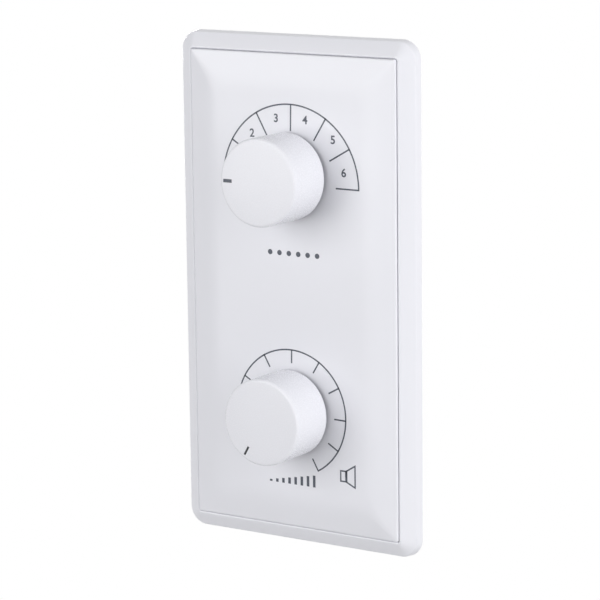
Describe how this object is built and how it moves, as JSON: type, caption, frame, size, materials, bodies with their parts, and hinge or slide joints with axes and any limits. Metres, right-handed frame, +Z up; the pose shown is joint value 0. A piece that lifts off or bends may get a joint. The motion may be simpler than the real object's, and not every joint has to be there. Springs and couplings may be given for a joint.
{
  "type": "wall volume and program controller",
  "caption": "Slim upright wall controller: a framed cover plate with a bevelled edge carries a stepped program knob above a volume knob, with wire terminals behind.",
  "frame": {"origin": "centre of the panel on the wall plane, midway between the two controls", "axes": "+Z up, +X to the right as the user sees it, -Y out of the wall towards the user"},
  "size_m": [0.082, 0.0465, 0.153],
  "materials": {
    "white_plastic": "moulded white, light gloss",
    "knob_plastic": "moulded white, fine satin",
    "pointer_ink": "dark grey inlay",
    "zinc_steel": "zinc plated sheet",
    "plain_steel": "turned steel",
    "spring_steel": "blued spring strip",
    "nickel_brass": "nickel plated brass",
    "die_cast_zinc": "die cast, fine grain",
    "phenolic": "moulded phenolic",
    "rotor_plastic": "moulded black",
    "resistor_body": "black glaze",
    "contact_bronze": "phosphor bronze",
    "carbon_track": "carbon film",
    "board_laminate": "green solder mask",
    "terminal_plastic": "moulded green",
    "tinned_metal": "tin plated"
  },
  "bodies": {
    "panel": {"surround_frame": "white_plastic", "cover_plate": "white_plastic", "program_support_ring": "zinc_steel", "program_bushing": "die_cast_zinc", "program_washer": "zinc_steel", "program_nut": "nickel_brass", "program_cover_nut": "nickel_brass", "program_board": "board_laminate", "program_spacers": "nickel_brass", "program_board_screws": "plain_steel", "program_terminal_block": "terminal_plastic", "program_terminal_clamps": "tinned_metal", "program_terminal_screws": "tinned_metal", "program_switch_case": "phenolic", "program_index_spring": "spring_steel", "program_contacts": "contact_bronze", "program_common": "contact_bronze", "program_resistors": "resistor_body", "volume_support_ring": "zinc_steel", "volume_bushing": "die_cast_zinc", "volume_washer": "zinc_steel", "volume_nut": "nickel_brass", "volume_cover_nut": "nickel_brass", "volume_board": "board_laminate", "volume_spacers": "nickel_brass", "volume_board_screws": "plain_steel", "volume_terminal_block": "terminal_plastic", "volume_terminal_clamps": "tinned_metal", "volume_terminal_screws": "tinned_metal", "volume_case": "die_cast_zinc", "volume_track": "carbon_track", "volume_collector": "contact_bronze"},
    "program_control": {"program_knob": "knob_plastic", "program_pointer": "pointer_ink", "program_knob_grip": "spring_steel", "program_shaft": "plain_steel", "program_shaft_clip": "spring_steel", "program_rotor": "rotor_plastic", "program_wiper": "contact_bronze"},
    "volume_control": {"volume_knob": "knob_plastic", "volume_pointer": "pointer_ink", "volume_knob_grip": "spring_steel", "volume_shaft": "plain_steel", "volume_shaft_clip": "spring_steel", "volume_rotor": "rotor_plastic", "volume_wiper": "contact_bronze"}
  },
  "joints": [
    {"name": "program_turn", "type": "hinge", "parent": "panel", "child": "program_control", "pos_m": [0, 0, 0.0355], "axis": [0, 1, 0], "range_deg": [0, 180], "deforming": ["program_index_spring"]},
    {"name": "volume_turn", "type": "hinge", "parent": "panel", "child": "volume_control", "pos_m": [0, 0, -0.0355], "axis": [0, 1, 0], "range_deg": [0, 300]}
  ]
}
